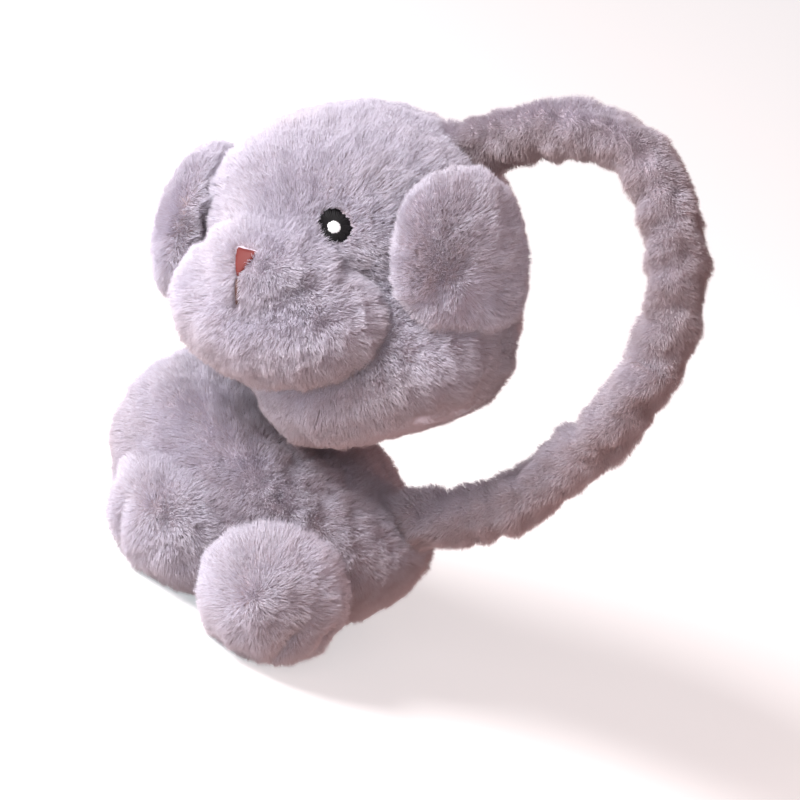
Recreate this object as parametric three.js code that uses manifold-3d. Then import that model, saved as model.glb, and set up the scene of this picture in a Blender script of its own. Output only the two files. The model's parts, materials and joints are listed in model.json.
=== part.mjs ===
// Plush dog earmuffs: two soft muffs on a folding headband. One muff is a dog's head, the other is its sitting
// body, and closed together they make a whole dog. Millimetres, +Z up. The dog faces -Y and its left is +X.
// The body muff stands on its flat base, and the headband loops round on the dog's left.
import * as THREE from "three";
import { mergeVertices } from "three/addons/utils/BufferGeometryUtils.js";
import Module from "manifold-3d";

const wasm = await Module();
wasm.setup();

// ---- driving dimensions ----
const CLEARANCE = 0.4; // between pieces that touch
const PLUSH = 3; // thickness of the fur fabric with its pile flattened
const SMOOTHING = 0.06; // facets smaller than this are merged
const FLOOR = 2.5; // height at which the sitting body is flattened
const SHIFT = [-12, 7.8, -FLOOR]; // brings the middle of the whole object's base to the origin

const TORSO = { at: [-3, 4, 36], radii: [64, 48, 35], fullness: 3, lean: 8 };
const SEAT = { at: [31, 33, 6], lean: 130.8, turn: 4.7 }; // the torso is cut away below its left side
const BODY_PAD = { height: 62, lean: 9.6, seam: 52 };
const LEG_LEFT = { at: [28.5, -32, 24], radii: [26, 33, 26], fullness: 2, splay: 12, toes: 58 };
const LEG_RIGHT = { at: [-16, -25, 24.5], radii: [31, 28, 26], fullness: 2, splay: -12, toes: -40 };
const MIDLINE = 9; // where the two legs meet
const TOE = { spread: 15, turn: 20, radius: 0.4, reach: 62 };

const HEAD = { at: [-11.9, -2, 121], nod: 14.3, lean: -22.3, turn: -7.1 };
const CRANIUM = { at: [0, 8, 5.5], radii: [56, 53, 55.5], fullness: 2 };
const BROW = { at: [-4, -13, 27], radii: [41, 31, 32], fullness: 2 };
const JOWL = { at: [16, -8, 107], radii: [45, 43, 32], fullness: 2.2, lean: -47, face: -24, seam: -12 };
const MUZZLE = { at: [0, -41, 2], radii: [42, 27, 25], fullness: 2.2 };
const BRIDGE = { at: [0, -40, 20], radii: [24, 27, 18], fullness: 2 };
const EAR_LEFT = { at: [54, -10, 21], radii: [13, 28.5, 40], fullness: 2.6, wrap: -20, swing: 2, hang: -3 };
const EAR_RIGHT = { at: [-53, -12, 16], radii: [14, 29, 30], fullness: 2.4, wrap: 20, swing: 0, hang: 16 };
const EAR_SEAM = { x: 47.5, y: -11, z: 38, lift: 40 }; // what an ear turns on, and how far it lifts
const EYE = { at: [19.7, -37, 37.5], radius: 6.4, turn: 25, thickness: 1.2, glint: 2.5 };
const NOSE = { z: 29.5, width: 9.4, height: 8.4, thickness: 1.3 };
const MOUTH = { top: 24, foot: 12, width: 1.6 };

const BAND = { y: 10, sleeve: 11.5, wadding: 8.1, stripWidth: 12, stripThickness: 1.6 };
const ROUTE = [
  [-15, 169.5], // pivot in the head muff
  [4.4, 189.4],
  [25.6, 208.5],
  [48.6, 216.5],
  [70.8, 210], // upper fold
  [89.4, 184.6],
  [96.7, 157.6],
  [91.6, 126.8],
  [78.9, 93.1], // lower fold
  [66.5, 76],
  [50.9, 62],
  [29, 46.5], // pivot in the body muff
];
const HEAD_PIVOT = 0;
const UPPER_FOLD = 4;
const LOWER_FOLD = 8;
const BODY_PIVOT = 11;
const FOLD_OPENING = 35; // degrees each fold opens
const MUFF_TILT = 8; // degrees each muff tilts away from the other
const KNUCKLE = { radius: 4, half: 2.6, fork: 6, pin: 1.5, hole: 1.8, room: 5.8 };
const ROOM_BEHIND = 9; // how far behind a muff's pivot the room for its arm narrows to nothing
const PLATE = { radius: 26, thickness: 2.5, away: 34, lug: 3, lugHeight: 9 };

// ---- materials ----
const FUR = [0xb8abba, 0.95];
const FILLING = [0xf2f0ea, 1];
const FOAM = [0xe8e0c8, 1];
const PLASTIC = [0x2c2c30, 0.5];
const STEEL = [0xb9bcc0, 0.35, 0.9];
const NOSE_THREAD = [0x9c413d, 0.7];
const DARK_THREAD = [0x151215, 0.6];
const WHITE_THREAD = [0xf4f4f4, 0.6];

// ---- solids ----
function solidOf(geometry) {
  geometry.deleteAttribute("normal");
  geometry.deleteAttribute("uv");
  const merged = mergeVertices(geometry, 1e-4);
  return new wasm.Manifold(
    new wasm.Mesh({
      numProp: 3,
      vertProperties: new Float32Array(merged.attributes.position.array),
      triVerts: new Uint32Array(merged.index.array),
    }),
  );
}

function addMesh(group, name, solid, [color, roughness, metalness = 0]) {
  const made = solid.simplify(SMOOTHING).getMesh();
  const places = new Float32Array(made.numVert * 3);
  for (let i = 0; i < made.numVert; i += 1) {
    for (let k = 0; k < 3; k += 1) places[3 * i + k] = made.vertProperties[made.numProp * i + k];
  }
  const geometry = new THREE.BufferGeometry();
  geometry.setAttribute("position", new THREE.BufferAttribute(places, 3));
  geometry.setIndex(new THREE.BufferAttribute(new Uint32Array(made.triVerts), 1));
  geometry.computeVertexNormals();
  const mesh = new THREE.Mesh(geometry, new THREE.MeshStandardMaterial({ color, roughness, metalness }));
  mesh.name = name;
  group.add(mesh);
}

// A placing matrix: turned about X, then Y, then Z, in degrees, and moved.
function placing(at, { x = 0, y = 0, z = 0 } = {}) {
  const [rx, ry, rz] = [x, y, z].map(THREE.MathUtils.degToRad);
  return new THREE.Matrix4().compose(
    new THREE.Vector3(...at),
    new THREE.Quaternion().setFromEuler(new THREE.Euler(rx, ry, rz, "ZYX")),
    new THREE.Vector3(1, 1, 1),
  );
}

// The motion of a turn, in degrees, about an axis through a point.
function turnAbout(at, axis, degrees) {
  const turn = new THREE.Matrix4().makeRotationAxis(axis, THREE.MathUtils.degToRad(degrees));
  const back = new THREE.Matrix4().makeTranslation(-at.x, -at.y, -at.z);
  return new THREE.Matrix4().makeTranslation(at.x, at.y, at.z).multiply(turn).multiply(back);
}

// A stuffed shape, round about its Z axis before scaling; its profile is a superellipse, fuller above 2.
// The hidden inner side of a skin, where grow is negative, has fewer facets than the outside.
function puff({ radii, fullness }, matrix, grow = 0, facets = 24) {
  const around = grow < -CLEARANCE ? 14 : facets;
  const along = around / 2;
  const profile = [];
  for (let i = 0; i <= along; i += 1) {
    const angle = -Math.PI / 2 + (Math.PI * i) / along;
    const [c, s] = [Math.cos(angle), Math.sin(angle)];
    const reach = (Math.abs(c) ** fullness + Math.abs(s) ** fullness) ** (-1 / fullness);
    const onAxis = i === 0 || i === along;
    profile.push(new THREE.Vector2(onAxis ? 0 : reach * c, reach * s));
  }
  const geometry = new THREE.LatheGeometry(profile, around);
  geometry.rotateX(Math.PI / 2);
  geometry.scale(...radii.map((radius) => radius + grow));
  return solidOf(geometry.applyMatrix4(matrix));
}

function block(low, high, matrix = new THREE.Matrix4()) {
  const geometry = new THREE.BoxGeometry(...high.map((value, k) => value - low[k]));
  geometry.translate(...high.map((value, k) => (value + low[k]) / 2));
  return solidOf(geometry.applyMatrix4(matrix));
}

// A prism along Y over a polygon of [x, z] corners.
function prismAlongY(corners, from, to, matrix = new THREE.Matrix4()) {
  const shape = new THREE.Shape(corners.map(([x, z]) => new THREE.Vector2(x, z)));
  const geometry = new THREE.ExtrudeGeometry(shape, { depth: to - from, bevelEnabled: false });
  geometry.rotateX(Math.PI / 2);
  geometry.translate(0, to, 0);
  return solidOf(geometry.applyMatrix4(matrix));
}

function barAlongY(radius, [x, z], halfLength, middle = BAND.y) {
  const geometry = new THREE.CylinderGeometry(radius, radius, 2 * halfLength, 12);
  geometry.translate(x, middle, z);
  return solidOf(geometry);
}

const FAR = 300; // further than any piece reaches
const AT_REST = new THREE.Matrix4();
const above = (z, matrix) => block([-FAR, -FAR, z], [FAR, FAR, FAR], matrix);
const below = (z, matrix) => block([-FAR, -FAR, -FAR], [FAR, FAR, z], matrix);

// ---- headband ----
const routeCurve = new THREE.CatmullRomCurve3(
  ROUTE.map(([x, z]) => new THREE.Vector3(x, BAND.y, z)),
  false,
  "centripetal",
);

// The stretch of the route between two of its points, shortened by a length at each end.
class Stretch extends THREE.Curve {
  constructor(from, to, cutStart = 0, cutEnd = 0) {
    super();
    const steps = 160;
    this.samples = [];
    for (let i = 0; i <= steps; i += 1) {
      this.samples.push(routeCurve.getPoint((from + ((to - from) * i) / steps) / (ROUTE.length - 1)));
    }
    this.lengths = [0];
    for (let i = 1; i <= steps; i += 1) {
      this.lengths.push(this.lengths[i - 1] + this.samples[i].distanceTo(this.samples[i - 1]));
    }
    this.start = cutStart;
    this.end = this.lengths[steps] - cutEnd;
  }

  getPoint(t, target = new THREE.Vector3()) {
    const wanted = this.start + (this.end - this.start) * t;
    let i = 1;
    while (i < this.lengths.length - 1 && this.lengths[i] < wanted) i += 1;
    const share = (wanted - this.lengths[i - 1]) / (this.lengths[i] - this.lengths[i - 1]);
    return target.copy(this.samples[i - 1]).lerp(this.samples[i], share);
  }
}

const rectangle = (width, height) =>
  [
    [-1, -1],
    [1, -1],
    [1, 1],
    [-1, 1],
  ].map(([a, b]) => new THREE.Vector2((a * width) / 2, (b * height) / 2));

function circle(radius, sides) {
  const points = [];
  for (let i = 0; i < sides; i += 1) {
    const angle = (2 * Math.PI * (i + 0.5)) / sides;
    points.push(new THREE.Vector2(radius * Math.cos(angle), radius * Math.sin(angle)));
  }
  return points;
}

// A section swept along a stretch: its width lies along Y, its height across the band.
function sweep(outline, hole, stretch, steps) {
  const shape = new THREE.Shape(outline);
  if (hole) shape.holes.push(new THREE.Path(hole));
  return solidOf(new THREE.ExtrudeGeometry(shape, { steps, bevelEnabled: false, extrudePath: stretch }));
}

// The wedge open to the outside of a fold, which its covering closes as the band opens.
function foldNotch(index) {
  const [before, at, after] = [ROUTE[index - 1], ROUTE[index], ROUTE[index + 1]];
  const outwards = Math.atan2(after[0] - before[0], before[1] - after[1]);
  const half = THREE.MathUtils.degToRad(FOLD_OPENING / 2 + 1);
  const reach = 2 * BAND.sleeve;
  const corner = (angle) => [at[0] + reach * Math.cos(angle), at[1] + reach * Math.sin(angle)];
  const corners = [at, corner(outwards - half), corner(outwards + half)];
  return prismAlongY(corners, BAND.y - FAR / 10, BAND.y + FAR / 10);
}

// The knuckles of a fold: the middle one belongs to the crown, the fork outside it to the arm.
const middleKnuckle = (index) => barAlongY(KNUCKLE.radius, ROUTE[index], KNUCKLE.half);
const gapForMiddle = (index) => barAlongY(KNUCKLE.room, ROUTE[index], KNUCKLE.half + CLEARANCE);
const wholeGap = (index) => barAlongY(KNUCKLE.room, ROUTE[index], FAR / 10);
const pinHole = (index) => barAlongY(KNUCKLE.hole, ROUTE[index], FAR / 10);
const foldPin = (index, half) => barAlongY(KNUCKLE.pin, ROUTE[index], half);

function stripBetween(from, to, width = BAND.stripWidth) {
  return sweep(rectangle(width, BAND.stripThickness), null, new Stretch(from, to), 3 * (to - from));
}

// An arm of the headband: an eye at its muff's pivot, and a fork at its fold.
function armStrip(pivot, fold) {
  const eye = barAlongY(KNUCKLE.radius, ROUTE[pivot], BAND.stripWidth / 2);
  return stripBetween(Math.min(pivot, fold), Math.max(pivot, fold))
    .add(eye)
    .add(barAlongY(KNUCKLE.radius, ROUTE[fold], KNUCKLE.fork))
    .subtract(gapForMiddle(fold))
    .subtract(pinHole(fold))
    .subtract(pinHole(pivot));
}

function crownStrip() {
  let made = stripBetween(UPPER_FOLD, LOWER_FOLD).subtract(wholeGap(UPPER_FOLD)).subtract(wholeGap(LOWER_FOLD));
  made = made.add(stripBetween(UPPER_FOLD, LOWER_FOLD, 2 * KNUCKLE.half));
  for (const fold of [UPPER_FOLD, LOWER_FOLD]) {
    made = made.add(middleKnuckle(fold)).subtract(pinHole(fold));
  }
  return made;
}

function covering(from, to, folds) {
  const [low, high] = [Math.min(from, to), Math.max(from, to)];
  const cuts = [folds.includes(low) ? CLEARANCE / 2 : 0, folds.includes(high) ? CLEARANCE / 2 : 0];
  const stretch = new Stretch(low, high, ...cuts);
  const steps = 3 * (high - low);
  const hole = rectangle(BAND.stripWidth + 2 * CLEARANCE, BAND.stripThickness + 2 * CLEARANCE);
  let sleeve = sweep(circle(BAND.sleeve, 12), circle(BAND.sleeve - PLUSH, 8), stretch, steps);
  let wadding = sweep(circle(BAND.wadding, 8), hole, stretch, steps);
  for (const fold of folds) {
    const notch = foldNotch(fold);
    sleeve = sleeve.subtract(notch);
    wadding = wadding.subtract(notch).subtract(wholeGap(fold));
  }
  return { sleeve, wadding };
}

function bandBody(name, group, strip, { sleeve, wadding }) {
  addMesh(group, `${name}_strip`, strip, PLASTIC);
  addMesh(group, `${name}_wadding`, wadding, FILLING);
  addMesh(group, `${name}_sleeve`, sleeve, FUR);
}

// ---- back plates ----
// The plate that an arm's pivot sits on, at its rim, between two lugs. It reaches inwards from the pivot.
function backPlate(pivot, lean, grow = 0) {
  const [x, z] = ROUTE[pivot];
  const matrix = placing([x, BAND.y, z], { y: lean });
  const radius = PLATE.radius + grow;
  const disc = new THREE.CylinderGeometry(radius, radius, PLATE.thickness + 2 * grow, 24);
  disc.rotateX(Math.PI / 2);
  disc.translate(-PLATE.away, 0, 0);
  let plate = solidOf(disc.applyMatrix4(matrix));
  const inner = BAND.stripWidth / 2 + CLEARANCE;
  for (const side of [-1, 1]) {
    const across = [side * inner, side * (inner + PLATE.lug)].sort((a, b) => a - b);
    const low = [-PLATE.away + PLATE.radius - 9 - grow, across[0] - grow, -PLATE.lugHeight / 2 - grow];
    const high = [PLATE.lugHeight / 2 + grow, across[1] + grow, PLATE.lugHeight / 2 + grow];
    plate = plate.add(block(low, high, matrix));
  }
  return plate;
}

// The room an arm needs inside its muff as it tilts: a wedge from the pivot outwards, and a clear space at the eye.
function armRoom(pivot, next) {
  const [at, towards] = [ROUTE[pivot], ROUTE[next]];
  const heading = Math.atan2(towards[1] - at[1], towards[0] - at[0]);
  const spread = THREE.MathUtils.degToRad(MUFF_TILT + 5);
  const half = BAND.stripWidth / 2 + 2 * CLEARANCE;
  const reach = 70;
  const apex = [at[0] - ROOM_BEHIND * Math.cos(heading), at[1] - ROOM_BEHIND * Math.sin(heading)];
  const corner = (angle) => [apex[0] + reach * Math.cos(angle), apex[1] + reach * Math.sin(angle)];
  const corners = [apex, corner(heading - spread), corner(heading + spread)];
  const wedge = prismAlongY(corners, BAND.y - half, BAND.y + half);
  return wedge.add(barAlongY(KNUCKLE.radius + 1.2, at, half));
}

// ---- body muff ----
const torsoPlace = placing(TORSO.at, { y: TORSO.lean });
const padPlace = (height) => placing([0, 0, height], { y: BODY_PAD.lean });
const seatPlace = placing(SEAT.at, { y: SEAT.lean, z: SEAT.turn });
const torso = (grow, motion = AT_REST) =>
  puff(TORSO, motion.clone().multiply(torsoPlace), grow, 26)
    .intersect(below(grow, motion.clone().multiply(seatPlace)))
    .intersect(above(FLOOR - grow, motion))
    .intersect(below(grow, motion.clone().multiply(padPlace(BODY_PAD.height))));
const bodyRoom = armRoom(BODY_PIVOT, BODY_PIVOT - 1);
const bodyPlateRoom = backPlate(BODY_PIVOT, BODY_PAD.lean, CLEARANCE);

const legOf = (side) => (side > 0 ? LEG_LEFT : LEG_RIGHT);

function legShape(side, grow) {
  const leg = legOf(side);
  const edge = MIDLINE + side * (CLEARANCE / 2 - grow);
  const half = side > 0 ? block([edge, -FAR, -FAR], [FAR, FAR, FAR]) : block([-FAR, -FAR, -FAR], [edge, FAR, FAR]);
  return puff(leg, placing(leg.at, { z: leg.splay }), grow, 18)
    .intersect(half)
    .intersect(above(FLOOR - grow));
}

function addLeg(group, name, side) {
  const away = torso(CLEARANCE);
  const leg = legOf(side);
  const outer = legShape(side, 0).subtract(away);
  addMesh(group, `${name}_cover`, outer.subtract(legShape(side, -PLUSH)), FUR);
  addMesh(group, `${name}_stuffing`, legShape(side, -PLUSH - CLEARANCE).subtract(away), FILLING);
  // Two stitched toe lines run over the tip of the foot.
  const ring = legShape(side, 2 * TOE.radius + CLEARANCE).subtract(legShape(side, CLEARANCE));
  [-1, 1].forEach((line, i) => {
    const place = placing(leg.at, { z: leg.splay + leg.toes + line * TOE.turn });
    const slice = block([-TOE.radius, -TOE.reach, -TOE.spread], [TOE.radius, -12, 0], place);
    addMesh(group, `${name}_toe_stitch_${i + 1}`, slice.intersect(ring).subtract(away), DARK_THREAD);
  });
}

function addBodyMuff(group) {
  const shell = torso(0).subtract(torso(-PLUSH));
  const seam = padPlace(BODY_PAD.seam);
  const seamGap = padPlace(BODY_PAD.seam - CLEARANCE);
  addMesh(group, "body_cover", shell.intersect(below(0, seamGap)).subtract(bodyRoom), FUR);
  addMesh(group, "body_pad_cover", shell.intersect(above(0, seam)).subtract(bodyRoom), FUR);
  const inside = torso(-PLUSH - CLEARANCE).subtract(bodyPlateRoom).subtract(bodyRoom);
  addMesh(group, "body_stuffing", inside.intersect(below(0, seamGap)), FILLING);
  addMesh(group, "body_pad_foam", inside.intersect(above(0, seam)), FOAM);
  const plate = backPlate(BODY_PIVOT, BODY_PAD.lean).subtract(pinHole(BODY_PIVOT));
  addMesh(group, "body_back_plate", plate, PLASTIC);
  addMesh(group, "body_pivot_pin", foldPin(BODY_PIVOT, BAND.stripWidth / 2 + CLEARANCE + PLATE.lug), STEEL);
  addLeg(group, "leg_left", 1);
  addLeg(group, "leg_right", -1);
}

// ---- head muff ----
const headPlace = placing(HEAD.at, { x: HEAD.nod, y: HEAD.lean, z: HEAD.turn });
const inHead = (at, turn) => headPlace.clone().multiply(placing(at, turn));
const jowlPlace = placing(JOWL.at, { y: JOWL.lean });
function headBall(grow, motion = AT_REST) {
  const moved = (matrix) => motion.clone().multiply(matrix);
  return puff(CRANIUM, moved(inHead(CRANIUM.at)), grow, 26)
    .add(puff(BROW, moved(inHead(BROW.at)), grow, 16))
    .add(puff(JOWL, moved(jowlPlace), grow, 22))
    .intersect(above(JOWL.face - grow, moved(jowlPlace)));
}
const snout = (grow) =>
  puff(MUZZLE, inHead(MUZZLE.at), grow, 20).add(puff(BRIDGE, inHead(BRIDGE.at), grow, 16));
const headRoom = armRoom(HEAD_PIVOT, HEAD_PIVOT + 1);
const headPlateRoom = backPlate(HEAD_PIVOT, JOWL.lean, CLEARANCE);

// An ear is wrapped round the head, swung forwards or back, and hung outwards, in that order.
function earPlace({ at, wrap, swing, hang }) {
  return inHead(at, { x: swing, y: hang }).multiply(placing([0, 0, 0], { z: wrap }));
}

const earShape = (ear, grow) => puff(ear, earPlace(ear), grow, 18);

// The space the head takes up, in the ear's frame, as the ear lifts.
function headUnderEar(side) {
  const at = new THREE.Vector3(side * EAR_SEAM.x, EAR_SEAM.y, EAR_SEAM.z).applyMatrix4(headPlace);
  const axis = new THREE.Vector3(0, side, 0).transformDirection(headPlace);
  let space = headBall(CLEARANCE);
  for (const share of [0.5, 1]) space = space.add(headBall(CLEARANCE, turnAbout(at, axis, share * EAR_SEAM.lift)));
  return space;
}

function addEar(group, name, ear) {
  const outer = earShape(ear, 0).subtract(headUnderEar(Math.sign(ear.at[0]))).subtract(snout(CLEARANCE));
  const hollow = earShape(ear, -PLUSH).subtract(headBall(CLEARANCE + PLUSH)).subtract(snout(CLEARANCE + PLUSH));
  // The wadding's pocket stays open under the seam that joins the ear to the head.
  const across = [-Math.sign(ear.at[0]) * 24, 0].sort((a, b) => a - b);
  const mouth = block([across[0], -5, 0.4 * ear.radii[2]], [across[1], 5, 0.65 * ear.radii[2]], earPlace(ear));
  addMesh(group, `${name}_cover`, outer.subtract(hollow).subtract(mouth), FUR);
  const wadding = earShape(ear, -PLUSH - CLEARANCE)
    .subtract(headBall(2 * CLEARANCE + PLUSH))
    .subtract(snout(2 * CLEARANCE + PLUSH))
    .subtract(headUnderEar(Math.sign(ear.at[0])));
  addMesh(group, `${name}_wadding`, wadding, FILLING);
}

function addFace(group) {
  const face = headBall(CLEARANCE);
  const outer = snout(0).subtract(face);
  addMesh(group, "muzzle_cover", outer.subtract(snout(-PLUSH)), FUR);
  addMesh(group, "muzzle_stuffing", snout(-PLUSH - CLEARANCE).subtract(face), FILLING);
  const skin = (thickness) => snout(CLEARANCE + thickness).add(headBall(CLEARANCE + thickness));
  const under = skin(0);
  const nose = prismAlongY(
    [
      [-NOSE.width / 2, NOSE.z + NOSE.height / 2],
      [NOSE.width / 2, NOSE.z + NOSE.height / 2],
      [NOSE.width / 2, NOSE.z + NOSE.height / 4],
      [1, NOSE.z - NOSE.height / 2],
      [-1, NOSE.z - NOSE.height / 2],
      [-NOSE.width / 2, NOSE.z + NOSE.height / 4],
    ],
    -80,
    -50,
    headPlace,
  );
  addMesh(group, "nose", nose.intersect(skin(NOSE.thickness)).subtract(under), NOSE_THREAD);
  const mouth = block([-MOUTH.width / 2, -80, MOUTH.foot], [MOUTH.width / 2, -50, MOUTH.top], headPlace);
  addMesh(group, "mouth_stitch", mouth.intersect(skin(NOSE.thickness)).subtract(under), DARK_THREAD);
  for (const side of [1, -1]) {
    const name = side > 0 ? "eye_left" : "eye_right";
    const place = inHead([side * EYE.at[0], EYE.at[1], EYE.at[2]], { z: side * EYE.turn });
    const glintAt = [0, 0, -0.1 * EYE.radius];
    const patch = (radius, [dx, , dz]) => {
      const disc = new THREE.CylinderGeometry(radius, radius, 30, 16);
      disc.translate(dx, 0, dz);
      return solidOf(disc.applyMatrix4(place));
    };
    const thread = skin(EYE.thickness).subtract(under);
    const glint = patch(EYE.glint, glintAt);
    const glintRoom = patch(EYE.glint + CLEARANCE, glintAt);
    addMesh(group, name, patch(EYE.radius, [0, 0, 0]).intersect(thread).subtract(glintRoom), DARK_THREAD);
    addMesh(group, `${name}_glint`, glint.intersect(thread), WHITE_THREAD);
  }
}

function addHeadMuff(group) {
  const shell = headBall(0).subtract(headBall(-PLUSH));
  addMesh(group, "head_cover", shell.intersect(above(JOWL.seam, jowlPlace)).subtract(headRoom), FUR);
  addMesh(group, "head_pad_cover", shell.intersect(below(JOWL.seam - CLEARANCE, jowlPlace)), FUR);
  const inside = headBall(-PLUSH - CLEARANCE);
  const stuffing = inside.intersect(above(JOWL.seam, jowlPlace)).subtract(headPlateRoom).subtract(headRoom);
  addMesh(group, "head_stuffing", stuffing, FILLING);
  addMesh(group, "head_pad_foam", inside.intersect(below(JOWL.seam - CLEARANCE, jowlPlace)), FOAM);
  const plate = backPlate(HEAD_PIVOT, JOWL.lean).subtract(pinHole(HEAD_PIVOT));
  addMesh(group, "head_back_plate", plate, PLASTIC);
  addMesh(group, "head_pivot_pin", foldPin(HEAD_PIVOT, BAND.stripWidth / 2 + CLEARANCE + PLATE.lug), STEEL);
  addFace(group);
  addEar(group, "ear_left", EAR_LEFT);
  addEar(group, "ear_right", EAR_RIGHT);
}

// ---- the object ----
const root = new THREE.Group();
root.name = "plush_dog_earmuffs";
const bodyMuff = new THREE.Group();
const headMuff = new THREE.Group();
const headband = new THREE.Group();
root.add(bodyMuff, headMuff, headband);

addBodyMuff(bodyMuff);
addHeadMuff(headMuff);

// The space a muff takes up, in its arm's frame, as it tilts away from the other muff.
function swept(muff, pivot) {
  const at = new THREE.Vector3(ROUTE[pivot][0], BAND.y, ROUTE[pivot][1]);
  const axis = new THREE.Vector3(0, -1, 0);
  let space = muff(CLEARANCE);
  for (const share of [0.5, 1]) space = space.add(muff(CLEARANCE, turnAbout(at, axis, share * MUFF_TILT)));
  return space;
}

const upper = covering(HEAD_PIVOT, UPPER_FOLD, [UPPER_FOLD]);
const nearHead = swept(headBall, HEAD_PIVOT);
upper.sleeve = upper.sleeve.subtract(nearHead);
upper.wadding = upper.wadding.subtract(nearHead);
bandBody("upper_arm", headband, armStrip(HEAD_PIVOT, UPPER_FOLD), upper);
bandBody("crown", headband, crownStrip(), covering(UPPER_FOLD, LOWER_FOLD, [UPPER_FOLD, LOWER_FOLD]));
const lower = covering(LOWER_FOLD, BODY_PIVOT, [LOWER_FOLD]);
const nearBody = swept(torso, BODY_PIVOT);
lower.sleeve = lower.sleeve.subtract(nearBody);
lower.wadding = lower.wadding.subtract(nearBody);
bandBody("lower_arm", headband, armStrip(BODY_PIVOT, LOWER_FOLD), lower);
addMesh(headband, "upper_fold_pin", foldPin(UPPER_FOLD, BAND.stripWidth / 2), STEEL);
addMesh(headband, "lower_fold_pin", foldPin(LOWER_FOLD, BAND.stripWidth / 2), STEEL);

root.position.set(...SHIFT);

export default root;
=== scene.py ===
"""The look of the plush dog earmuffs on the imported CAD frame: skins, fur, embroidery, studio and camera.

Shapes are worked out in millimetres in the dog's own frame, which is the row frame before its origin was
moved to the middle of the base. The dog faces -Y and its left is +X."""

import json
import math

import bmesh
import bpy
import numpy as np
from mathutils import Matrix, Vector
from mathutils.bvhtree import BVHTree

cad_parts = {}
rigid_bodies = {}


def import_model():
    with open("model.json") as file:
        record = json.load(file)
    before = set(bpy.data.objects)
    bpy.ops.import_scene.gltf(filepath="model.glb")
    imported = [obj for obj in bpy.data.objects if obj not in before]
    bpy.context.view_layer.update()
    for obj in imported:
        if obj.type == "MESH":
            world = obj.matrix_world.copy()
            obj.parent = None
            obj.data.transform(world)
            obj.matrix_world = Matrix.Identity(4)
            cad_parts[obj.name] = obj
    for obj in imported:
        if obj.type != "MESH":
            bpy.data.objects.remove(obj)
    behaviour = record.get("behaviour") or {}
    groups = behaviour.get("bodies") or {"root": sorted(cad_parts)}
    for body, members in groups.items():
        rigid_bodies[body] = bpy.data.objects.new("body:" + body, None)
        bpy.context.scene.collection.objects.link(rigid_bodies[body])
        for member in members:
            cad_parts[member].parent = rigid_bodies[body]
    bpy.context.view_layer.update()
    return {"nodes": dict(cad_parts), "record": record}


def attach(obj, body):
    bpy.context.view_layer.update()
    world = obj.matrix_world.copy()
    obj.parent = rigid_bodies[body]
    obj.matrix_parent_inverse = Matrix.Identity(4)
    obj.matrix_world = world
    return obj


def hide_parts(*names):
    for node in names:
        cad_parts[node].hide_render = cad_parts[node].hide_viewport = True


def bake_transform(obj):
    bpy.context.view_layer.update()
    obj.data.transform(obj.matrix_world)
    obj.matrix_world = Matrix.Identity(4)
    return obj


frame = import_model()
JOINTS = {joint["name"]: joint for joint in frame["record"]["behaviour"]["joints"]}
BODY_PIVOT = np.array([29.0, 10.0, 46.5])  # the body muff's pivot in the dog's frame
SHIFT = 1000 * np.array(JOINTS["body_tilt"]["pos_m"]) - BODY_PIVOT
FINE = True

# ---- driving dimensions, in millimetres and degrees: the CAD's, except for the ears' ----
INSET = 2.0  # how far the fabric lies inside the flattened pile
TORSO = {"radii": (64, 48, 35), "fullness": 3}
TORSO_AT, TORSO_LEAN = (-3, 4, 36), 8
SEAT_AT, SEAT_LEAN, SEAT_TURN = (31, 33, 6), 130.8, 4.7
BODY_PAD_HEIGHT, BODY_PAD_LEAN = 62, 9.6
LEGS = {
    "left": {"at": (28.5, -32, 24), "radii": (26, 33, 26), "fullness": 2, "splay": 12, "toes": 58},
    "right": {"at": (-16, -25, 24.5), "radii": (31, 28, 26), "fullness": 2, "splay": -12,
              "toes": -40},
}
TOE_TURN = 20  # from the middle of a foot to each toe stitch
TOE_DEPTH = 0.16  # the share by which a toe stitch pulls the foot in
HEAD_AT, HEAD_TURN = (-11.9, -2, 121), (14.3, -22.3, -7.1)
CRANIUM, CRANIUM_AT = {"radii": (56, 53, 55.5), "fullness": 2}, (0, 8, 5.5)
BROW, BROW_AT = {"radii": (41, 31, 32), "fullness": 2}, (-4, -13, 27)
JOWL = {"radii": (45, 43, 32), "fullness": 2.2}
JOWL_AT, JOWL_LEAN, JOWL_FACE = (16, -8, 107), -47, -24
MUZZLE, MUZZLE_AT = {"radii": (42, 27, 25), "fullness": 2.2}, (0, -41, 2)
BRIDGE, BRIDGE_AT = {"radii": (24, 27, 18), "fullness": 2}, (0, -40, 20)
UNDER_BRIDGE = {"radii": (23, 26, 17), "fullness": 2}  # the face's own rise below the muzzle
EARS = {
    "left": {"at": (53.5, -10, 20), "radii": (12, 29, 40), "fullness": 2.8,
             "wrap": -20, "swing": 2, "hang": -3},
    "right": {"at": (-52, -17, 17), "radii": (14, 29, 30), "fullness": 2.5,
              "wrap": 20, "swing": 0, "hang": 16},
}
EYE_RADIUS, GLINT_RADIUS = 6.4, 2.5
EYES = {"left": ((19.7, -37, 35.2), 44), "right": ((-19.7, -37, 35.2), -66)}  # place, and way it looks
EYE_RISE = {"left": 0.2, "right": -2.0}  # the far eye lies deep in the fur
NOSE_AT, MOUTH_AT = (0, -64.5, 29.5), (0, -66, 15)
NOSE_ROWS = [(4.0, 29.6), (4.3, 29.0), (3.4, 27.1), (2.5, 25.3), (1.5, 23.5), (0.5, 21.7)]
MOUTH_ROWS = [(0.5, 20.6), (0.8, 18.0), (0.8, 14.5), (0.5, 11.5)]
PATCH_RISE = 0.9  # how far the nose and mouth stitches stand up
STITCH_BACK = 2.5  # how far embroidery reaches into the fabric
TOE_THREAD = 0.4
BODY_EAR_PAD, HEAD_EAR_PAD = (44, 34, 6), (30, 29, 6)
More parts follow.
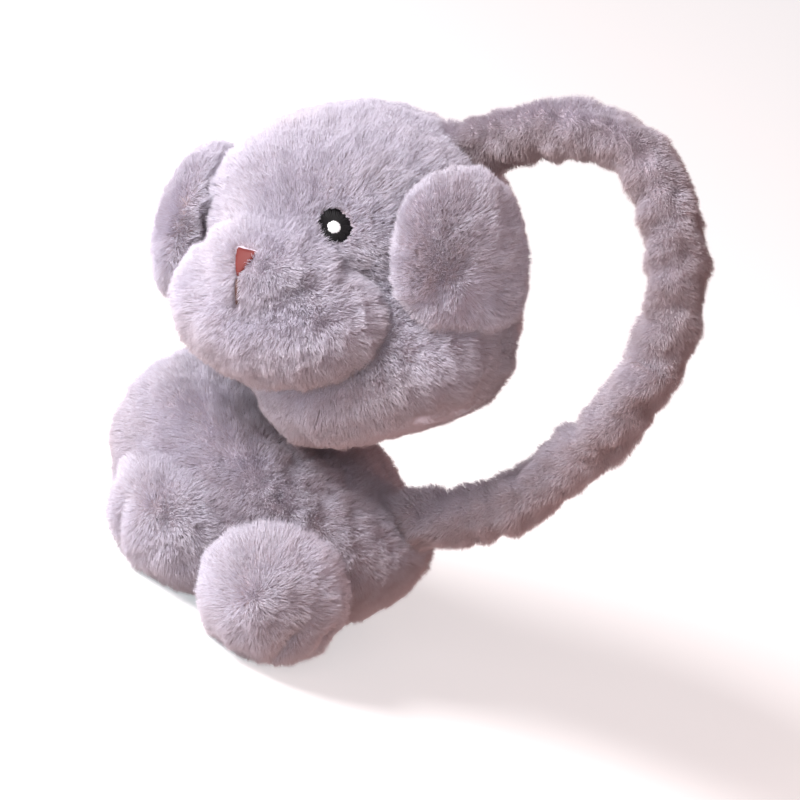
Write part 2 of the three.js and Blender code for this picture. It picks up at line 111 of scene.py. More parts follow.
SLEEVE_RADIUS, SLEEVE_INSET, SLEEVE_STEP, BAND_Y = 11.5, 3.2, 1.6, 10
SEAM_ANGLE = math.radians(205)  # from the outside of the bend, towards the dog's front
SEAM_PITCH = 8.5  # between two hand stitches of the sleeve's seam
SEAM_DEPTH, LIP_HEIGHT = 2.6, 0.9  # of the groove between the seam's lips, and of the lips
ROUTE = [(-15, 169.5), (4.4, 189.4), (25.6, 208.5), (48.6, 216.5), (70.8, 210), (89.4, 184.6),
         (96.7, 157.6), (91.6, 126.8), (78.9, 93.1), (66.5, 76), (50.9, 62), (29, 46.5)]
UPPER_FOLD, CROWN_MIDDLE, LOWER_FOLD = 4, 6, 8
FOLD_REACH = 9  # the sleeve bends over this much each side of a fold
FLOOR = 2.5  # height at which the sitting body is flattened

# ---- fur and cloth ----
CLOTH_FRAMES = 14
EVEN_PASSES = {"body": 6}  # passes of smoothing where the cuts of a piece crowd its facets
DEFAULT_EVEN_PASSES = 2
FUR_LENGTH, BAND_FUR_LENGTH = 4.2, 3.2
FUR_DENSITY = 9.0 if FINE else 2.0  # strands per square millimetre
STRAND_RADIUS = 0.065 if FINE else 0.12
STRAND_LENGTHS = 0.65, 1.1  # the shortest and longest hair, as shares of the pile's length
ROOT_DEPTH = 0.4  # how far a hair starts below its skin
CURL = 0.55  # how much of a hair turns to its tip's direction
TUFT_GATHER, LOCK_GATHER = 0.55, 1.3  # how strongly hairs are drawn together at each size
STRAY = 0.16  # the scatter of the hairs' directions
STRAND_TAPER = np.array([1.0, 1.0, 0.85, 0.6, 0.2])  # the thickness of a hair at each of its points
LILAC = (0.61, 0.55, 0.635)
LILAC_DEEP = (0.46, 0.41, 0.48)
# warm undercoat colour; at the hairs' roots it also stands in as painted shade deep in the pile
UNDERCOAT_AND_SHADE_BEIGE = (0.46, 0.34, 0.33)
# the colour of the painted shade, where the pile faces away from the key light
PAINTED_SHADE_TAUPE = (0.36, 0.245, 0.24)
LILAC_TIP, PALE_TIP = (0.60, 0.52, 0.56), (0.76, 0.74, 0.83)
BODY_SHADE_BIAS, EAR_SHADE_BIAS = 0.25, -0.3  # extra painted shade on the body's pile and less on the ears', so the body is browner and the ears paler than the head
BAND_SHADE_BIAS = 0.5  # extra painted shade on the band's pile, so it is browner than the muffs'
# Painted shade of the pile: darker and warmer where the fabric faces away from the key light.
KEY_LIGHT_WAY = np.array([-0.45, -0.55, 0.70])  # painted shade is least where the fabric faces this way, towards the key light
# the painted shade's middle amount, how far it swings with facing, and how strongly it shows
PAINTED_SHADE_MIDDLE, PAINTED_SHADE_SWING, PAINTED_SHADE_STRENGTH = 0.40, 0.75, 0.85

# ---- camera: where the view looks and how it is turned ----
VIEW_AT = np.array([9.2, 35.8, 81.7])
VIEW_AZIMUTH, VIEW_ELEVATION, VIEW_ROLL = 22, 20, 28
VIEW_WIDTH, VIEW_DISTANCE, SENSOR = 280, 4000, 36


# ---- placing ----
def turn(x=0, y=0, z=0):
    """A 3 by 3 turn about X, then Y, then Z."""
    return np.array(Matrix.Rotation(math.radians(z), 3, "Z")
                    @ Matrix.Rotation(math.radians(y), 3, "Y")
                    @ Matrix.Rotation(math.radians(x), 3, "X"))


def placed(at, rotation=None):
    """A frame as (origin, 3 by 3 axes in columns)."""
    return np.array(at, float), np.eye(3) if rotation is None else rotation


def within(outer, inner):
    return outer[0] + outer[1] @ inner[0], outer[1] @ inner[1]


def point_in(place, at):
    return place[0] + place[1] @ np.array(at, float)


HEAD = placed(HEAD_AT, turn(*HEAD_TURN))
JOWL_PLACE = placed(JOWL_AT, turn(y=JOWL_LEAN))
TORSO_PLACE = placed(TORSO_AT, turn(y=TORSO_LEAN))
BODY_PAD_PLACE = placed((0, 4, BODY_PAD_HEIGHT), turn(y=BODY_PAD_LEAN))
HEAD_PAD_PLACE = placed(point_in(JOWL_PLACE, (0, 0, JOWL_FACE)), turn(y=JOWL_LEAN + 180))


# ---- shapes as distance fields, in millimetres, negative inside ----
def stuffed(shape, place):
    """A cushion whose profile is a superellipse, drawn in by the thickness of the flattened pile."""
    radii, fullness = np.array(shape["radii"], float) - INSET, shape["fullness"]

    def distance(points):
        local = (points - place[0]) @ place[1]
        scaled = local / radii
        across = np.hypot(scaled[:, 0], scaled[:, 1])
        reach = (across**fullness + np.abs(scaled[:, 2]) ** fullness) ** (1 / fullness)
        return np.linalg.norm(local, axis=1) * (1 - 1 / np.maximum(reach, 1e-6))

    return distance


def plane(place, offset=0):
    """The half space below a frame's XY plane."""
    return lambda points: (points - place[0]) @ place[1][:, 2] - offset


def joined(first, second, soft):
    """Two shapes run together over a soft distance."""
    def distance(points):
        a, b = first(points), second(points)
        h = np.clip(0.5 + 0.5 * (b - a) / soft, 0, 1)
        return b + (a - b) * h - soft * h * (1 - h)

    return distance


def common(first, second, soft):
    """What lies in both shapes, with a soft edge."""
    both = joined(lambda p: -first(p), lambda p: -second(p), soft)
    return lambda points: -both(points)


def wave_field(seed, wavelength, count=18):
    """A smooth repeatable field from -1 to 1, with its gradient, as a sum of plane waves."""
    rng = np.random.default_rng(seed)
    directions = rng.normal(size=(count, 3))
    directions /= np.linalg.norm(directions, axis=1, keepdims=True)
    numbers = directions * (2 * math.pi / (wavelength * rng.uniform(0.7, 1.4, (count, 1))))
    phases = rng.uniform(0, 2 * math.pi, count)

    def field(points):
        angle = points @ numbers.T + phases
        value = np.cos(angle).sum(axis=1) / math.sqrt(2 * count)
        slope = -(np.sin(angle) @ numbers) / math.sqrt(2 * count)
        return value, slope

    return field


# Unevenness of three sizes: of the stuffing, of the finest tufts and of the locks of fur.
lumps = wave_field(3, 26)
tufts = wave_field(5, 5.2, 24)
locks = wave_field(7, 11, 20)

# ---- making meshes ----
COLLECTION = bpy.context.scene.collection


def to_metres(points):
    return (np.asarray(points, float) + SHIFT) / 1000


def to_millimetres(points):
    return np.asarray(points, float) * 1000 - SHIFT


def make(name, points, faces):
    """A mesh object from points in millimetres."""
    mesh = bpy.data.meshes.new(name)
    mesh.from_pydata(to_metres(points).tolist(), [], [tuple(map(int, face)) for face in faces])
    mesh.polygons.foreach_set("use_smooth", [True] * len(mesh.polygons))
    mesh.update()
    piece = bpy.data.objects.new(name, mesh)
    COLLECTION.objects.link(piece)
    return piece


def points_of(mesh):
    flat = np.empty(3 * len(mesh.vertices), np.float32)
    mesh.vertices.foreach_get("co", flat)
    return to_millimetres(flat.reshape(-1, 3))


def set_points(mesh, points):
    mesh.vertices.foreach_set("co", to_metres(points).astype(np.float32).ravel())
    mesh.update()


def normals_of(mesh):
    flat = np.empty(3 * len(mesh.vertices), np.float32)
    mesh.vertex_normals.foreach_get("vector", flat)
    return flat.reshape(-1, 3).astype(float)


def evaluated_mesh(piece):
    depsgraph = bpy.context.evaluated_depsgraph_get()
    return bpy.data.meshes.new_from_object(piece.evaluated_get(depsgraph))


def blown(name, centre, shape, detail):
    """The surface of a distance field seen from its centre, as a mesh of even triangles."""
    ball = bmesh.new()
    bmesh.ops.create_icosphere(ball, subdivisions=detail, radius=1)
    ball.verts.ensure_lookup_table()
    rays = np.array([v.co for v in ball.verts])
    faces = [[v.index for v in face.verts] for face in ball.faces]
    ball.free()
    rays /= np.linalg.norm(rays, axis=1, keepdims=True)
    low, high = np.zeros(len(rays)), np.full(len(rays), 130.0)
    for _ in range(22):
        middle = (low + high) / 2
        out = shape(centre + rays * middle[:, None]) > 0
        high = np.where(out, middle, high)
        low = np.where(out, low, middle)
    return make(name, centre + rays * high[:, None], faces)


# ---- stuffing: cloth blown up by its filling ----
waiting = []


def stuff(piece, pinned, pressure=3.0, slack=0.03, most=1.6):
    """Marks a piece for the cloth run.

    pinned gives 1 where the cloth is held by a seam and 0 where it is free."""
    points = points_of(piece.data)
    weights = np.clip(pinned(points), 0, 1)
    group = piece.vertex_groups.new(name="seams")
    for index, weight in enumerate(weights):
        if weight > 0.02:
            group.add([index], float(weight), "REPLACE")
    waiting.append((piece, points, most))
    if not FINE:
        return
    cloth = piece.modifiers.new("filling", "CLOTH").settings
    cloth.quality = 4
    cloth.mass = 0.2
    cloth.tension_stiffness = 20
    cloth.compression_stiffness = 20
    cloth.shear_stiffness = 8
    cloth.bending_stiffness = 0.4
    cloth.shrink_min = -slack
    cloth.use_pressure = True
    cloth.uniform_pressure_force = pressure
    cloth.vertex_group_mass = "seams"
    cloth.effector_weights.gravity = 0


def run_cloth():
    """Runs all the waiting pieces at once, and keeps each within its own distance of where it was cut."""
    scene = bpy.context.scene
    if FINE:
        for number in range(1, CLOTH_FRAMES + 1):
            scene.frame_set(number)
    for piece, cut, most in waiting:
        settled = evaluated_mesh(piece)
        points = points_of(settled)
        moved = points - cut
        length = np.linalg.norm(moved, axis=1, keepdims=True)
        moved *= np.minimum(1, most / np.maximum(length, 1e-9))
        piece.modifiers.clear()
        piece.vertex_groups.clear()
        set_points(piece.data, cut + moved)
        bpy.data.meshes.remove(settled)
    scene.frame_set(1)


def refine(piece, levels):
    """Evens out the facets, and makes them finer."""
    evener = piece.modifiers.new("evener", "SMOOTH")
    evener.factor, evener.iterations = 0.5, EVEN_PASSES.get(piece.name, DEFAULT_EVEN_PASSES)
    smoother = piece.modifiers.new("finer", "SUBSURF")
    smoother.levels = smoother.render_levels = levels
    fine = evaluated_mesh(piece)
    piece.modifiers.clear()
    old = piece.data
    piece.data = fine
    bpy.data.meshes.remove(old)
    fine.polygons.foreach_set("use_smooth", [True] * len(fine.polygons))


def relief(piece, height=0.45, shade_bias=0.0):
    """Raises a skin's tufts and stores its painted shade."""
    points, normals = points_of(piece.data), normals_of(piece.data)
    # painted shade of the skin, from how it faces the key light
    tone = piece.data.attributes.new("tone", "FLOAT", "POINT")
    tone.data.foreach_set("value", painted_shade_of(normals, shade_bias))
    lift = height * (tufts(points)[0] + 0.8 * locks(points)[0]) - 0.2
    set_points(piece.data, points + normals * lift[:, None])
    return piece


# ---- materials ----
def material(name, colour, roughness, metallic=0.0, sheen=0.0, specular=0.5):
    made = bpy.data.materials.new(name)
    made.use_nodes = True
    shader = made.node_tree.nodes["Principled BSDF"]
    shader.inputs["Base Color"].default_value = (*colour, 1)
    shader.inputs["Roughness"].default_value = roughness
    shader.inputs["Metallic"].default_value = metallic
    shader.inputs["Sheen Weight"].default_value = sheen
    shader.inputs["Specular IOR Level"].default_value = specular
    return made


def mix_colours(tree, factor, first, second):
    mix = tree.nodes.new("ShaderNodeMix")
    mix.data_type = "RGBA"
    tree.links.new(factor, mix.inputs["Factor"])
    for socket, value in ((mix.inputs[6], first), (mix.inputs[7], second)):
        if isinstance(value, tuple):
            socket.default_value = (*value, 1)
        else:
            tree.links.new(value, socket)
    return mix.outputs[2]


def noise(tree, scale, detail=3, stretch=None):
    coordinates = tree.nodes.new("ShaderNodeTexCoord").outputs["Object"]
    if stretch:
        mapping = tree.nodes.new("ShaderNodeMapping")
        mapping.inputs["Scale"].default_value = stretch
        tree.links.new(coordinates, mapping.inputs["Vector"])
        coordinates = mapping.outputs["Vector"]
    made = tree.nodes.new("ShaderNodeTexNoise")
    made.inputs["Scale"].default_value = scale
    made.inputs["Detail"].default_value = detail
    tree.links.new(coordinates, made.inputs["Vector"])
    return made.outputs["Fac"]


def ramp(tree, factor, low, high):
    made = tree.nodes.new("ShaderNodeMapRange")
    made.inputs["From Min"].default_value = low
    made.inputs["From Max"].default_value = high
    tree.links.new(factor, made.inputs["Value"])
    return made.outputs["Result"]


def painted_shade_factor(tree):
    """The stored painted shade of the pile, from 0 (lilac, facing the key light) to 1 (taupe, facing away),
    weakened a little.
    """
    stored = tree.nodes.new("ShaderNodeAttribute")
    stored.attribute_name = "tone"
    made = tree.nodes.new("ShaderNodeMath")
    made.operation = "MULTIPLY"
    made.inputs[1].default_value = PAINTED_SHADE_STRENGTH
    tree.links.new(stored.outputs["Fac"], made.inputs[0])
    return made.outputs[0]


def fur_skin_material():
    """The pile seen as one surface: lilac tips over a warm beige undercoat, in tufts, pulled towards taupe
    by painted shade where it faces away from the key light.
    """
    made = material("fur_skin", LILAC, 0.95, sheen=0.35)
    tree = made.node_tree
    shader = tree.nodes["Principled BSDF"]
    patches = mix_colours(tree, ramp(tree, noise(tree, 22), 0.35, 0.75), LILAC, UNDERCOAT_AND_SHADE_BEIGE)
    fine = ramp(tree, noise(tree, 420, 4), 0.35, 0.62)
    # painted shade: towards taupe where the skin faces away from the key light
    painted_shaded = mix_colours(tree, painted_shade_factor(tree), mix_colours(tree, fine, LILAC_DEEP, patches), PAINTED_SHADE_TAUPE)
    tree.links.new(painted_shaded, shader.inputs["Base Color"])
    bump = tree.nodes.new("ShaderNodeBump")
    bump.inputs["Strength"].default_value = 0.8
    bump.inputs["Distance"].default_value = 0.0012
    tree.links.new(noise(tree, 600, 4), bump.inputs["Height"])
    tree.links.new(bump.outputs["Normal"], shader.inputs["Normal"])
    return made


def strand_material():
    """One hair: warm beige at its root, partly the undercoat's colour and partly painted shade deep in the
    pile, lilac to its tip, some hairs lighter than others, pulled towards taupe by painted shade where it
    faces away from the key light.
    """
    made = material("fur_strands", LILAC, 0.75, sheen=0.2)
    tree = made.node_tree
    shader = tree.nodes["Principled BSDF"]
    hair = tree.nodes.new("ShaderNodeHairInfo")
    patches = ramp(tree, noise(tree, 30), 0.42, 0.72)
    tips = mix_colours(tree, patches, LILAC, LILAC_TIP)
    lighter = mix_colours(tree, ramp(tree, hair.outputs["Random"], 0.0, 1.0), tips, PALE_TIP)
    # painted shade deep in the pile, partly the undercoat's colour: beige at the root, lightening towards
    # the tip
    along = ramp(tree, hair.outputs["Intercept"], -0.1, 0.45)
    # painted shade: towards taupe where the hair's root faces away from the key light
    painted_shaded = mix_colours(tree, painted_shade_factor(tree), mix_colours(tree, along, UNDERCOAT_AND_SHADE_BEIGE, lighter), PAINTED_SHADE_TAUPE)
    tree.links.new(painted_shaded, shader.inputs["Base Color"])
    return made


FUR_SKIN = fur_skin_material()
STRANDS = strand_material()
PAD_SKIN = material("pad_plush", (0.42, 0.37, 0.42), 0.95, sheen=0.2)
BLACK_THREAD = material("black_thread", (0.007, 0.006, 0.007), 0.6, specular=0.2)
WHITE_THREAD = material("white_thread", (0.85, 0.85, 0.85), 0.5)
NOSE_THREAD = material("nose_thread", (0.15, 0.028, 0.025), 0.6, specular=0.25)
BROWN_THREAD = material("brown_thread", (0.10, 0.045, 0.035), 0.6)


def painted_shade_of(normals, shade_bias=0.0):
    """How much painted shade the pile gets where the fabric faces a way: most below and on the dog's left,
    away from the key light, least above.
    """
    return np.clip(PAINTED_SHADE_MIDDLE + shade_bias - PAINTED_SHADE_SWING * (normals @ KEY_LIGHT_WAY), 0, 1).astype(np.float32)


# ---- fur ----
def strands(name, piece, body, source, lean=0.75, length=FUR_LENGTH, density=FUR_DENSITY, keep=None,
            shade_bias=0.0, seed=1):
    """Hairs over a piece, combed away from a source point and drawn together into tufts."""
    mesh = piece.data
    mesh.calc_loop_triangles()
    corners = np.empty(3 * len(mesh.loop_triangles), np.int32)
    mesh.loop_triangles.foreach_get("vertices", corners)
    corners = corners.reshape(-1, 3)
    points, normals = points_of(mesh), normals_of(mesh)
    a, b, c = (points[corners[:, k]] for k in range(3))
    areas = np.linalg.norm(np.cross(b - a, c - a), axis=1) / 2
    rng = np.random.default_rng(seed)
    count = int(areas.sum() * density)
    chosen = np.searchsorted(np.cumsum(areas), rng.uniform(0, areas.sum(), count))
    chosen = np.minimum(chosen, len(areas) - 1)
    u, v = rng.uniform(size=(2, count, 1))
    over = (u + v) > 1
    u, v = np.where(over, 1 - u, u), np.where(over, 1 - v, v)
    tri = corners[chosen]
    roots = (1 - u - v) * points[tri[:, 0]] + u * points[tri[:, 1]] + v * points[tri[:, 2]]
    up = (1 - u - v) * normals[tri[:, 0]] + u * normals[tri[:, 1]] + v * normals[tri[:, 2]]
    if keep is not None:
        kept = keep(roots)
        roots, up = roots[kept], up[kept]
    count = len(roots)
    up /= np.linalg.norm(up, axis=1, keepdims=True)
    away = roots - np.array(source, float)
    away -= (away * up).sum(axis=1, keepdims=True) * up
    away /= np.maximum(np.linalg.norm(away, axis=1, keepdims=True), 6)
    gather = TUFT_GATHER * tufts(roots)[1] + LOCK_GATHER * locks(roots)[1]
    gather -= (gather * up).sum(axis=1, keepdims=True) * up
    stray = rng.normal(scale=STRAY, size=(count, 3))
    tip_way = up + lean * away + gather + stray
    tip_way /= np.linalg.norm(tip_way, axis=1, keepdims=True)
    root_way = up + 0.3 * stray
    lengths = length * rng.uniform(*STRAND_LENGTHS, (count, 1)) * (1 + 0.18 * locks(roots)[0][:, None])
    steps = np.linspace(0, 1, len(STRAND_TAPER))[None, :, None]
    near_root = root_way[:, None] * steps * (1 - CURL * steps)
    bend = lengths[:, None] * (near_root + tip_way[:, None] * CURL * steps**2)
    path = roots[:, None] - ROOT_DEPTH * up[:, None] + bend
    hair = bpy.data.hair_curves.new(name)
    hair.add_curves([len(STRAND_TAPER)] * count)
    places = to_metres(path.reshape(-1, 3)).astype(np.float32).ravel()
    hair.attributes["position"].data.foreach_set("vector", places)
    radius = hair.attributes.get("radius") or hair.attributes.new("radius", "FLOAT", "POINT")
    taper = STRAND_TAPER * STRAND_RADIUS / 1000
    radius.data.foreach_set("value", np.tile(taper, count).astype(np.float32))
    # painted shade of each hair, from how its root faces the key light
    tone = hair.attributes.new("tone", "FLOAT", "CURVE")
    tone.data.foreach_set("value", painted_shade_of(up, shade_bias))
    hair.materials.append(STRANDS)
    made = bpy.data.objects.new(name, hair)
    COLLECTION.objects.link(made)
    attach(made, body)
    return made


def finish_fur(piece, body, nodes, fill, source, shade_bias=0.0, **options):
    """A fur piece's last steps: relief, finish, its body, the CAD it stands for, and its hairs."""
    relief(piece, shade_bias=shade_bias)
    piece.data.materials.append(FUR_SKIN)
    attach(piece, body)
    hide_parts(*nodes)
    seed = len(piece.name) + len(COLLECTION.objects)
    strands(f"{piece.name}_hairs", piece, body, source, shade_bias=shade_bias, seed=seed, **options)


# ---- the shapes of the muffs ----
cranium = stuffed(CRANIUM, within(HEAD, placed(CRANIUM_AT)))
brow = stuffed(BROW, within(HEAD, placed(BROW_AT)))
jowl = stuffed(JOWL, JOWL_PLACE)
jowl_cut = placed(point_in(JOWL_PLACE, (0, 0, JOWL_FACE + INSET)), turn(y=JOWL_LEAN + 180))
jowl_face = plane(jowl_cut)
skull = common(joined(joined(cranium, brow, 8), jowl, 7), jowl_face, 9)
muzzle_only = stuffed(MUZZLE, within(HEAD, placed(MUZZLE_AT)))
bridge = stuffed(BRIDGE, within(HEAD, placed(BRIDGE_AT)))
snout = joined(muzzle_only, bridge, 9)
torso_cut = plane(placed((0, 0, BODY_PAD_HEIGHT + 4), turn(y=BODY_PAD_LEAN)), -INSET)
seat_cut = plane(placed(SEAT_AT, turn(y=SEAT_LEAN, z=SEAT_TURN)), -INSET)
ground = plane(placed((0, 0, FLOOR + 0.6), turn(x=180)))
torso = common(common(common(stuffed(TORSO, TORSO_PLACE), torso_cut, 12), seat_cut, 12), ground, 5)


def lumpy(shape, height=0.9):
    """A shape made uneven by its stuffing."""
    return lambda points: shape(points) - height * lumps(points)[0]


def leg_shape(side):
    """A foot's shape, flat on the ground, and its frame."""
    leg = LEGS[side]
    place = placed(leg["at"], turn(z=leg["splay"]))
    return common(stuffed(leg, place), ground, 5), place


def ear_shape(side):
    """An ear's shape, lying on the head, and its frame."""
    ear = EARS[side]
    place = within(HEAD, placed(ear["at"], turn(x=ear["swing"], y=ear["hang"]) @ turn(z=ear["wrap"])))
    off_head = joined(skull, snout, 3)
    return common(stuffed(ear, place), lambda points: 1.0 - off_head(points), 2), place


def dented(shape, centres, depth, reach):
    """A shape with soft hollows round some points."""
    def distance(points):
        hollow = sum(np.exp(-(((points - centre) ** 2).sum(axis=1) / reach**2)) for centre in centres)
        return shape(points) + depth * hollow

    return distance


def near(centre, reach):
    """1 at a point, falling to 0 at a distance from it."""
    return lambda points: 1 - np.linalg.norm(points - np.array(centre), axis=1) / reach


def held_by(*holds):
    """The firmest of several holds."""
    return lambda points: np.max([hold(points) for hold in holds], axis=0)


def band_near(shape, reach):
    """1 on a shape's surface, falling to 0 at a distance from it."""
    return lambda points: 1 - np.abs(shape(points)) / reach


def near_floor(points):
    """1 on the ground, falling to 0 a little above it."""
    return 1 - (points[:, 2] - FLOOR) / 3


eye_points = {side: point_in(HEAD, at) for side, (at, _) in EYES.items()}
nose_point = point_in(HEAD, NOSE_AT)
mouth_point = point_in(HEAD, MOUTH_AT)

under_bridge = stuffed(UNDER_BRIDGE, within(HEAD, placed(BRIDGE_AT)))
face = dented(lumpy(joined(skull, under_bridge, 14)), eye_points.values(), 2.0, 12)
muzzle_skin = lumpy(snout, 0.6)
head = blown("head", point_in(HEAD, (4, 2, 2)), face, 4)
stuff(head, held_by(*(near(eye, 9) for eye in eye_points.values()), band_near(jowl_face, 3)))
muzzle = blown("muzzle", point_in(HEAD, (0, -38, 8)), muzzle_skin, 4)
stuff(muzzle, held_by(near(nose_point, 9), near(mouth_point, 8), band_near(skull, 4)))
body = blown("body", point_in(TORSO_PLACE, (0, 0, -4)), lumpy(torso, 1.1), 4)
stuff(body, held_by(near_floor, band_near(torso_cut, 3)))
legs, leg_places = {}, {}
for side in ("left", "right"):
    shape, leg_places[side] = leg_shape(side)
    legs[side] = blown(f"leg_{side}", leg_places[side][0], lumpy(shape, 0.6), 3)
    stuff(legs[side], held_by(near_floor, band_near(torso, 4)))
ears, ear_places = {}, {}
for side in ("left", "right"):
    shape, ear_places[side] = ear_shape(side)
    sign = 1 if side == "left" else -1
    ears[side] = blown(f"ear_{side}", point_in(ear_places[side], (sign * 5, 0, 0)), lumpy(shape, 0.5), 3)
    stuff(ears[side], band_near(skull, 4))
run_cloth()

for piece in (head, muzzle, body, *legs.values(), *ears.values()):
    refine(piece, 2 if FINE and piece is not muzzle else 1)


# ---- pressing the pieces into each other ----
def press(piece, shape, gap, pull=0.8, passes=6):
    """Moves a piece's points out of another's shape, to a gap from it."""
    points = points_of(piece.data)
    for _ in range(passes):
        depth = gap - shape(points)
        slope = np.stack([(shape(points + step) - shape(points - step)) for step in 0.5 * np.eye(3)], axis=1)
        slope /= np.maximum(np.linalg.norm(slope, axis=1, keepdims=True), 1e-9)
        points = points + slope * (pull * np.clip(depth, 0, None))[:, None]
    set_points(piece.data, points)


press(body, joined(cranium, jowl, 4), 1.0)


def toe_angles(side):
    """The directions of a foot's two toe stitches, in degrees from its front towards the dog's left."""
    return [LEGS[side]["toes"] + line * TOE_TURN for line in (-1, 1)]


# Two creases are pulled into each foot, where its toes are stitched.
for side, leg in legs.items():
    points = points_of(leg.data)
    origin, axes = leg_places[side]
    local = (points - origin) @ axes
    angle = np.degrees(np.arctan2(local[:, 0], -local[:, 1]))
    out = np.clip(np.hypot(local[:, 0], local[:, 1]) / 8 - 1, 0, 1)
    low = np.clip(-local[:, 2] / 9 + 0.6, 0, 1) * out
    for toe in toe_angles(side):
        local -= TOE_DEPTH * local * (low * np.exp(-(((angle - toe) / 6) ** 2)))[:, None]
    set_points(leg.data, origin + local @ axes.T)


class Skins:
    """The outsides of some finished pieces, for laying embroidery on."""

    def __init__(self, *pieces):
        self.trees = []
        for piece in pieces:
            faces = [tuple(face.vertices) for face in piece.data.polygons]
            self.trees.append(BVHTree.FromPolygons(points_of(piece.data).tolist(), faces))

    def outermost(self, inside, way):
        """The last place where a ray from inside meets a skin, and the skin's direction there."""
        origin = Vector(inside + 100 * way)
        hits = [tree.ray_cast(origin, Vector(-way)) for tree in self.trees]
        place, normal, _, _ = min((hit for hit in hits if hit[0]), key=lambda hit: hit[3])
        return np.array(place), np.array(normal)


face_skins = Skins(head, muzzle)
foot_skins = {side: Skins(leg) for side, leg in legs.items()}


def facing(place, outwards):
    """A frame at a place whose -Y looks outwards and whose Z is as upright as the head's."""
    back = -outwards / np.linalg.norm(outwards)
    side = np.cross(back, HEAD[1][:, 2])
    side /= np.linalg.norm(side)
    return place, np.stack([side, back, np.cross(side, back)], axis=1)


eye_places = {}
for side, (at, out) in EYES.items():
    way = -within(HEAD, placed(at, turn(z=out)))[1][:, 1]
    on_skin, normal = face_skins.outermost(point_in(HEAD, at) - 20 * way, way)
    eye_places[side] = facing(on_skin + EYE_RISE[side] * way, normal)


def clear_of_face(roots):
    """Keeps hairs off the near eye, the nose, which narrows downwards, and the mouth."""
    clear = np.linalg.norm(roots - eye_places["left"][0], axis=1) > EYE_RADIUS - 0.3
    local = (roots - HEAD[0]) @ HEAD[1]
    aside, level = np.abs(local[:, 0]), local[:, 2]
    on_nose = (aside < 4.0 - 0.46 * (29 - level)) & (level > 21) & (level < 29.8)
    on_mouth = (aside < 0.9) & (level > 10.5) & (level < 21)
    return clear & ~((on_nose | on_mouth) & (local[:, 1] < -50))


def outside(*shapes, depth=1.5):
    """Keeps hairs that grow no deeper than this inside the shapes."""
    return lambda roots: np.all([shape(roots) > -depth for shape in shapes], axis=0)


def both(*tests):
    """Keeps hairs that pass every test."""
    return lambda roots: np.all([test(roots) for test in tests], axis=0)


finish_fur(head, "head_muff", ("head_cover", "head_stuffing"), 0.8, nose_point,
           keep=both(clear_of_face, outside(snout, depth=7)))
finish_fur(muzzle, "head_muff", ("muzzle_cover", "muzzle_stuffing"), 0.8, nose_point, lean=0.6,
           keep=both(clear_of_face, outside(skull, depth=7)))
finish_fur(body, "body_muff", ("body_cover", "body_stuffing"), 0.8, (-3, -20, 95), BODY_SHADE_BIAS, lean=0.6,
           keep=outside(leg_shape("left")[0], leg_shape("right")[0]))
for side, leg in legs.items():
    tip = point_in(leg_places[side], (0, -33, 4))
    finish_fur(leg, "body_muff", (f"leg_{side}_cover", f"leg_{side}_stuffing"), 0.7, tip, lean=0.9,
               keep=outside(torso))
for side, ear in ears.items():
    sign = 1 if side == "left" else -1
    pole = point_in(ear_places[side], (sign * 13, -6, -2))
    finish_fur(ear, f"ear_{side}", (f"ear_{side}_cover", f"ear_{side}_wadding"), 0.4, pole, EAR_SHADE_BIAS,
               lean=0.9, keep=outside(skull))


# ---- ear pads: the soft faces that meet when the muffs close ----
def pad(name, place, radii, nodes, body_name):
    """A flat round cushion on the inside of a muff."""
    shape = stuffed({"radii": radii, "fullness": 3}, place)
    piece = blown(name, place[0], shape, 5)
    relief(piece, 0.12)
    piece.data.materials.append(PAD_SKIN)
    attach(piece, body_name)
    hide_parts(*nodes)


pad("body_ear_pad", within(BODY_PAD_PLACE, placed((0, 0, -3))), BODY_EAR_PAD,
    ("body_pad_cover", "body_pad_foam"), "body_muff")
pad("head_ear_pad", within(HEAD_PAD_PLACE, placed((0, 0, -3.4))), HEAD_EAR_PAD,
    ("head_pad_cover", "head_pad_foam"), "head_muff")


# ---- headband sleeve ----
def mixed(p, times, k, reach, s):
    """The point at time s on the line from p[k], at times[k], to p[k + 1], at times[k + reach]."""
    start, end = times[k], times[k + reach]
    return (end - s) / (end - start) * p[k] + (s - start) / (end - start) * p[k + 1]


def route_points(first, last):
    """Even points along the band's route between two of its corners, by centripetal Catmull-Rom."""
    corners = np.array([(x, BAND_Y, z) for x, z in ROUTE], float)
    corners = np.vstack([2 * corners[0] - corners[1], corners, 2 * corners[-1] - corners[-2]])
    dense = []
    for k in range(first, last):
        p = corners[k:k + 4]
        times = np.concatenate([[0], np.cumsum(np.linalg.norm(np.diff(p, axis=0), axis=1) ** 0.5)])
        for s in np.linspace(times[1], times[2], 30, endpoint=k == last - 1):
            once = [mixed(p, times, i, 1, s) for i in range(3)]
            twice = [mixed(once, times, i, 2, s) for i in range(2)]
            dense.append(mixed(twice, times[1:], 0, 1, s))
    dense = np.array(dense)
    run = np.concatenate([[0], np.cumsum(np.linalg.norm(np.diff(dense, axis=0), axis=1))])
    even = np.linspace(0, run[-1], int(run[-1] / SLEEVE_STEP) + 1)
    return np.stack([np.interp(even, run, dense[:, k]) for k in range(3)], axis=1)


